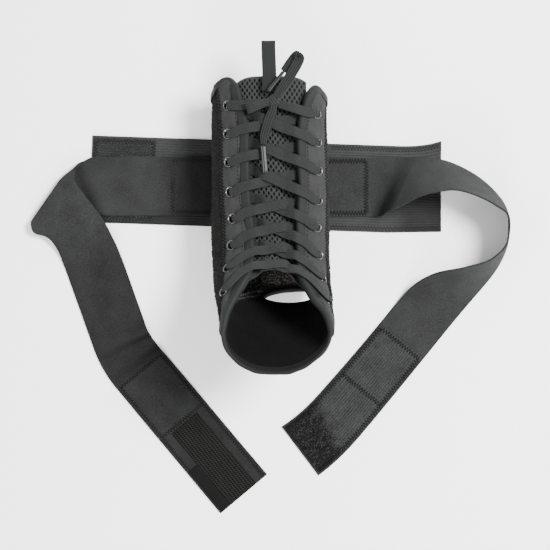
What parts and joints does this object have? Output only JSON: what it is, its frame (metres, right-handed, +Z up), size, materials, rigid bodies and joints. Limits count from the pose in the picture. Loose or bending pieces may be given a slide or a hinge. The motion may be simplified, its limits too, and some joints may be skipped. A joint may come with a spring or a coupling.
{
  "type": "ankle brace",
  "caption": "Lace-up ankle brace lying on its back: padded tube from calf to arch with open heel and toes, mesh tongue, bow lacing, elastic cuff band and long figure-of-eight straps",
  "frame": {"origin": "under the elastic cuff band, where it is sewn to the calf, on the surface the brace lies on", "axes": "+Z up from that surface, +Y up the leg towards the calf opening, +X to the viewer's right, seen from above with the calf opening at the top"},
  "size_m": [0.421, 0.408, 0.1182],
  "materials": {
    "liner_knit": "brushed pile",
    "quarter_knit": "smooth knit",
    "ribbon_tape": "ribbed tape",
    "spacer_mesh": "open mesh",
    "lace_braid": "flat braid",
    "strap_webbing": "stretch webbing",
    "hook_and_loop": "hook and loop tape",
    "eyelet_metal": "nickel plated",
    "clear_film": "rolled film"
  },
  "bodies": {
    "root": {"liner": "liner_knit", "quarter_left": "quarter_knit", "quarter_right": "quarter_knit", "edge_binding": "ribbon_tape", "top_binding": "ribbon_tape", "heel_binding": "ribbon_tape", "pull_tab": "ribbon_tape", "tongue": "spacer_mesh", "lace": "lace_braid", "lace_knot": "lace_braid", "lace_loop_left": "lace_braid", "lace_loop_right": "lace_braid", "lace_tail": "lace_braid", "aglet_tail": "clear_film", "aglet_loop": "clear_film", "cuff_band": "strap_webbing", "cuff_patch": "hook_and_loop", "strap_left": "strap_webbing", "strap_right": "strap_webbing", "strap_hook": "hook_and_loop", "strap_label": "strap_webbing", "strap_patch": "hook_and_loop", "eyelet_left_1": "eyelet_metal", "eyelet_left_2": "eyelet_metal", "eyelet_left_3": "eyelet_metal", "eyelet_left_4": "eyelet_metal", "eyelet_left_5": "eyelet_metal", "eyelet_left_6": "eyelet_metal", "eyelet_left_7": "eyelet_metal", "eyelet_left_8": "eyelet_metal", "eyelet_right_1": "eyelet_metal", "eyelet_right_2": "eyelet_metal", "eyelet_right_3": "eyelet_metal", "eyelet_right_4": "eyelet_metal", "eyelet_right_5": "eyelet_metal", "eyelet_right_6": "eyelet_metal", "eyelet_right_7": "eyelet_metal", "eyelet_right_8": "eyelet_metal"}
  },
  "joints": []
}
